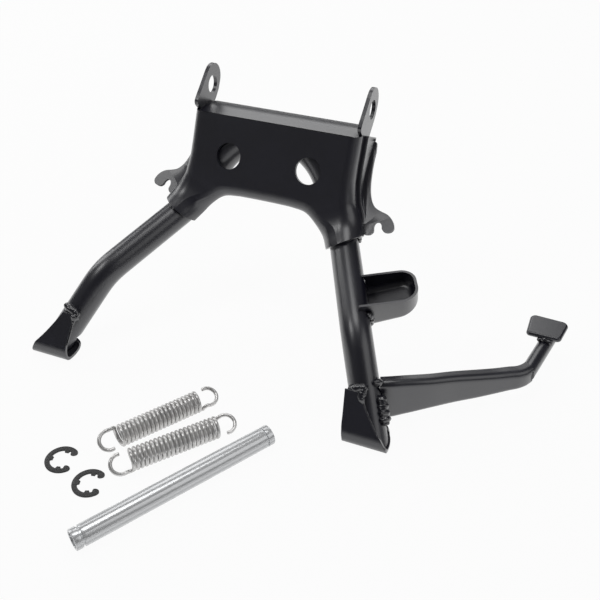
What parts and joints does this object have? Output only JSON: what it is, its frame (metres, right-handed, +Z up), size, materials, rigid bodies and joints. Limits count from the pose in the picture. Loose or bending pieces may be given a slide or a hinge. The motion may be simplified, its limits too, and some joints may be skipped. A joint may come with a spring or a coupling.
{
  "type": "motorcycle centre stand",
  "caption": "Bent-tube centre stand with pivot ears, hooked side plates, a stop tongue and a tread arm, with its pivot tube, clips and return springs beside it.",
  "frame": {"origin": "middle of the pivot axis, halfway between the two ears", "axes": "+X towards the tread arm's side along the pivot axis, +Y from the viewer's side to the back, +Z up, with the feet on the floor"},
  "size_m": [0.432, 0.3772, 0.2021],
  "materials": {
    "satin_black": "satin black coating",
    "weld_black": "glossy black coating on weld",
    "bright_zinc": "bright zinc plated",
    "spring_zinc": "zinc plated wire",
    "clip_steel": "dark phosphated"
  },
  "bodies": {
    "root": {"crown_shell": "satin_black", "crown_back_plate": "satin_black", "leg_tube": "satin_black", "foot_plate_left": "satin_black", "foot_plate_right": "satin_black", "hook_plate_left": "satin_black", "hook_plate_right": "satin_black", "stop_tongue": "satin_black", "tread_arm": "satin_black", "tread_rod": "satin_black", "tread_pad": "satin_black", "pivot_tube": "bright_zinc", "circlip_a": "clip_steel", "circlip_b": "clip_steel", "spring_a": "spring_zinc", "spring_b": "spring_zinc", "foot_weld_left": "weld_black", "foot_weld_right": "weld_black", "sleeve_weld_left": "weld_black", "sleeve_weld_right": "weld_black", "arm_weld_upper": "weld_black", "arm_weld_lower": "weld_black", "pad_weld": "weld_black", "tongue_weld": "weld_black"}
  },
  "joints": []
}
